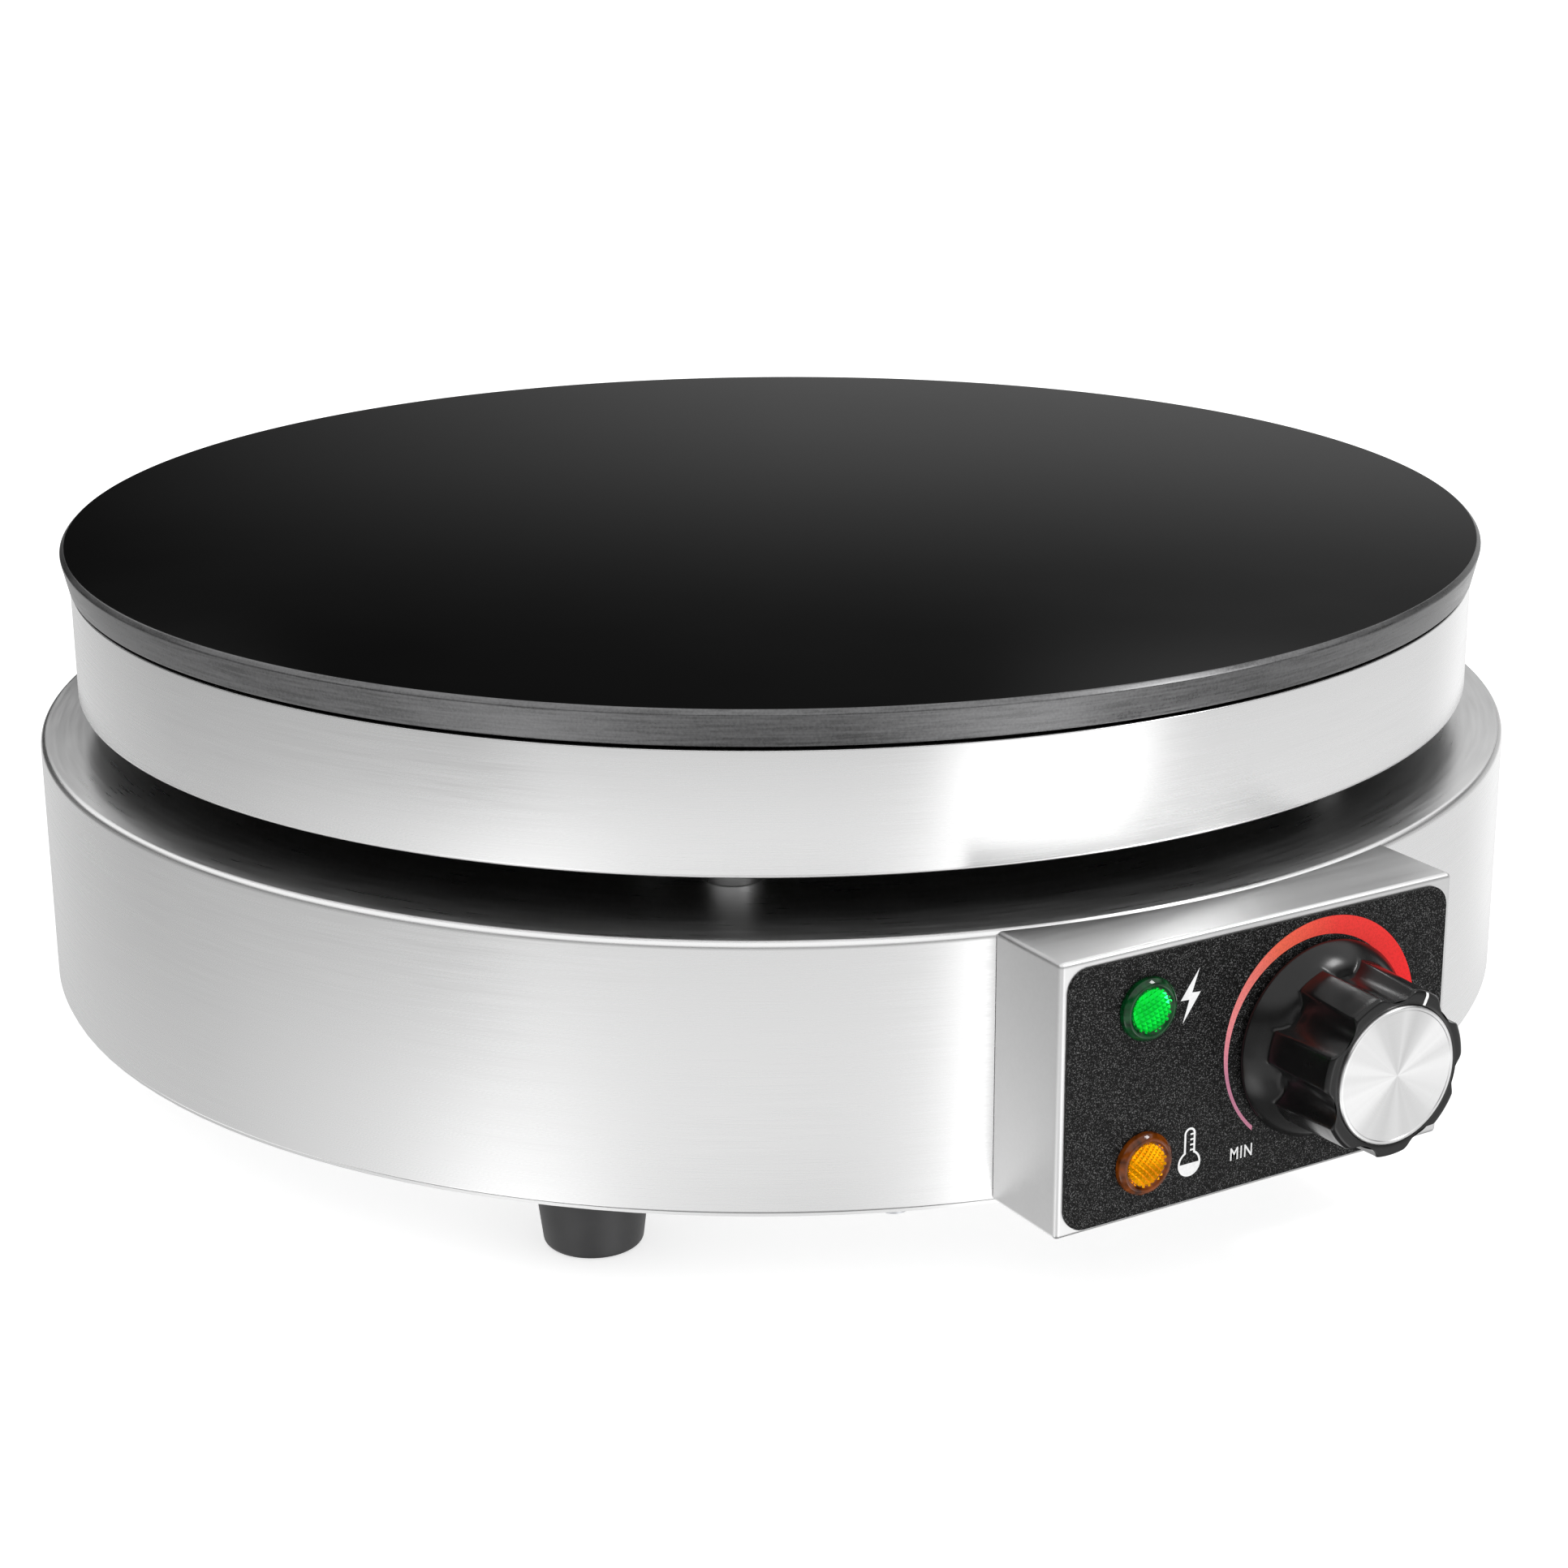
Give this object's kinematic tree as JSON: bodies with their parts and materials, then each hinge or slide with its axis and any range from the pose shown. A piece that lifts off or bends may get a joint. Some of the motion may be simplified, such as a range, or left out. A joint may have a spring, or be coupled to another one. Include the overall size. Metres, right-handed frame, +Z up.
{
  "type": "electric crepe griddle",
  "caption": "Round electric crepe griddle: black cast-iron plate on a stainless ring and posts above a wide drum, with a front control box, lamps and a turning thermostat knob.",
  "frame": {"origin": "centre of the cooking surface", "axes": "+Z up out of the cooking surface, -Y towards the front with the control box and the knob, +Y along the cord entry at the back"},
  "size_m": [0.418, 0.4873, 0.144],
  "materials": {
    "plate_coating": "satin black coating, machined rim",
    "element_sheath": "heat-darkened",
    "zinc_steel": "zinc plated",
    "ceramic_fibre": "matte",
    "copper": "satin",
    "black_plastic": "matte",
    "brushed_stainless": "brushed around the axis",
    "box_stainless": "fine brushed",
    "polished_stainless": "polished",
    "foot_rubber": "satin",
    "panel_film": "black with a fine sparkle",
    "green_lens": "ribbed, translucent",
    "amber_lens": "ribbed, translucent",
    "pale_plastic": "matte",
    "lamp_glass": "clear",
    "brass": "satin",
    "ceramic_white": "matte",
    "knob_plastic": "gloss black",
    "spun_aluminium": "spun",
    "gland_nylon": "satin",
    "brown_wire": "matte",
    "blue_wire": "matte",
    "red_wire": "matte",
    "white_wire": "matte",
    "earth_wire": "matte"
  },
  "bodies": {
    "body": {"cooking_plate": "plate_coating", "outer_heating_element": "element_sheath", "inner_heating_element": "element_sheath", "element_cold_ends": "element_sheath", "element_clamp_plate": "zinc_steel", "insulation_mat": "ceramic_fibre", "plate_studs": "zinc_steel", "plate_stud_nuts": "zinc_steel", "sensing_bulb": "copper", "bulb_clip": "zinc_steel", "bulb_clip_screw": "zinc_steel", "capillary_tube": "copper", "thermal_cutout": "black_plastic", "upper_ring": "brushed_stainless", "pan_floor": "brushed_stainless", "standoff_posts": "polished_stainless", "post_bolts": "zinc_steel", "post_nuts": "zinc_steel", "wire_conduit": "polished_stainless", "drum_shell": "brushed_stainless", "bottom_cover": "brushed_stainless", "cover_screws": "zinc_steel", "rubber_feet": "foot_rubber", "foot_screws": "zinc_steel", "foot_washers": "zinc_steel", "foot_nuts": "zinc_steel", "control_box": "box_stainless", "control_panel": "panel_film", "green_lamp_lens": "green_lens", "amber_lamp_lens": "amber_lens", "lamp_bodies": "pale_plastic", "neon_bulbs": "lamp_glass", "lamp_terminals": "brass", "thermostat_body": "zinc_steel", "thermostat_base": "ceramic_white", "thermostat_terminals": "brass", "thermostat_screws": "zinc_steel", "gland_body": "gland_nylon", "gland_gasket": "foot_rubber", "gland_seal": "foot_rubber", "gland_cap_nut": "gland_nylon", "gland_locknut": "gland_nylon", "terminal_bracket": "zinc_steel", "terminal_block": "pale_plastic", "terminal_screws": "brass", "earth_stud": "brass", "earth_nut": "brass", "brown_wire": "brown_wire", "blue_wire": "blue_wire", "red_wire": "red_wire", "link_wire": "white_wire", "earth_wire": "earth_wire"},
    "knob": {"knob_body": "knob_plastic", "knob_cap": "spun_aluminium", "knob_insert": "brass", "knob_set_screw": "zinc_steel", "thermostat_shaft": "zinc_steel"}
  },
  "joints": [
    {"name": "knob_turn", "type": "hinge", "parent": "body", "child": "knob", "pos_m": [0.018, -0.2263, -0.08705], "axis": [0, 1, 0], "range_deg": [-156, 106]}
  ]
}
